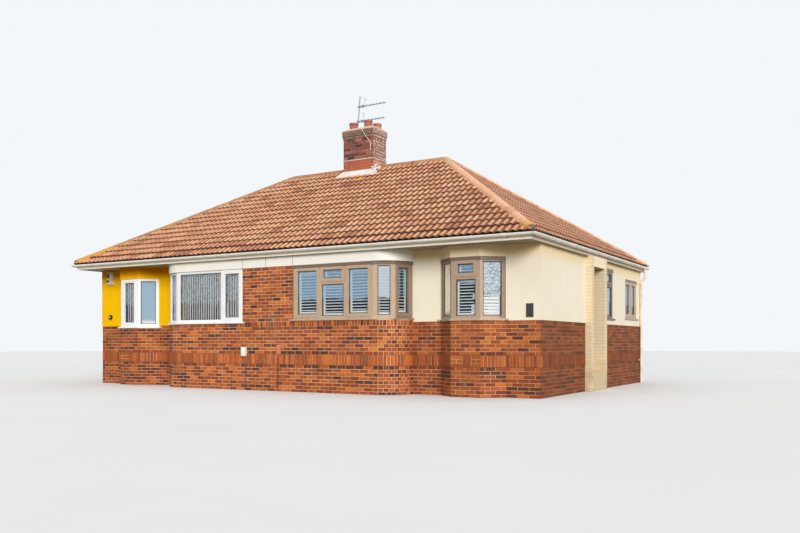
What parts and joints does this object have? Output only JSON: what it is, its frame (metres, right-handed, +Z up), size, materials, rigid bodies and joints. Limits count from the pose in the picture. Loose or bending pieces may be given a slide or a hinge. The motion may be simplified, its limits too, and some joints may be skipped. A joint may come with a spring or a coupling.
{
  "type": "pair of semi-detached bungalows",
  "caption": "Mirrored pair of joined bungalows under one hipped pantile roof, with round-cornered bays, bow windows and a shared chimney.",
  "frame": {"origin": "the ground under the middle of the building: on the party line, under the ridge, at the lowest ground", "axes": "+X to the right along the front as seen from the street, +Y to the rear, +Z up"},
  "size_m": [12.908, 8.588, 7.8217],
  "materials": {
    "brick": "orange-red facing brick in stretcher bond with pale mortar",
    "yellow_render": "golden yellow masonry paint on render",
    "cream_render": "cream masonry paint on render",
    "inner_blockwork": "plastered inner brickwork",
    "white_masonry_paint": "white paint on smooth render",
    "white_frames": "white window frames",
    "brown_frames": "tan woodgrain window frames",
    "glass": "clear double glazing",
    "shutter_paint": "white painted louvred shutters",
    "blind_fabric": "pale blinds",
    "yellow_brick_paint": "golden yellow paint on brick",
    "cream_brick_paint": "cream paint on brick",
    "door_wood": "brown door",
    "floor_boards": "boarded floor",
    "ceiling_plaster": "plaster ceiling on joists",
    "eaves_paint": "cream painted boards",
    "gutter_plastic": "white gutter, weathered",
    "downpipe_plastic": "cream downpipe",
    "roof_tiles": "orange-brown clay pantiles",
    "ridge_tiles": "half-round clay ridge and hip tiles",
    "chimney_brick": "dark brown-red brick",
    "mortar": "pale mortar fillet",
    "pot_clay": "red clay pots",
    "aerial_metal": "dull grey metal",
    "box_plastic": "off-white boxes",
    "black_metal": "black lamp",
    "slate": "bare dark plaque"
  },
  "bodies": {
    "root": {"centre_pier": "brick", "bay_walls": "brick", "front_base": "brick", "side_base": "brick", "rear_base": "brick", "front_wall_left": "yellow_render", "side_wall_left": "yellow_render", "rear_wall_left": "yellow_render", "front_wall_right": "cream_render", "side_wall_right": "cream_render", "rear_wall_right": "cream_render", "party_wall": "inner_blockwork", "white_band": "white_masonry_paint", "bay_window_left": "white_frames", "bow_window_left": "white_frames", "back_windows_left": "white_frames", "bay_window_right": "brown_frames", "bow_window_right": "brown_frames", "back_windows_right": "brown_frames", "glass": "glass", "shutters": "shutter_paint", "blinds": "blind_fabric", "porch_left": "yellow_brick_paint", "porch_right": "cream_brick_paint", "front_doors": "door_wood", "floor": "floor_boards", "ceiling": "ceiling_plaster", "soffit": "eaves_paint", "fascia": "eaves_paint", "gutter": "gutter_plastic", "downpipes": "downpipe_plastic", "roof_front": "roof_tiles", "roof_rear": "roof_tiles", "roof_left": "roof_tiles", "roof_right": "roof_tiles", "ridge_tiles": "ridge_tiles", "hip_tiles": "ridge_tiles", "chimney_stack": "chimney_brick", "chimney_flashing": "mortar", "chimney_pots": "pot_clay", "aerial": "aerial_metal", "alarm_box": "box_plastic", "wall_lamp": "black_metal", "plaque": "slate", "wall_boxes": "box_plastic"}
  },
  "joints": []
}
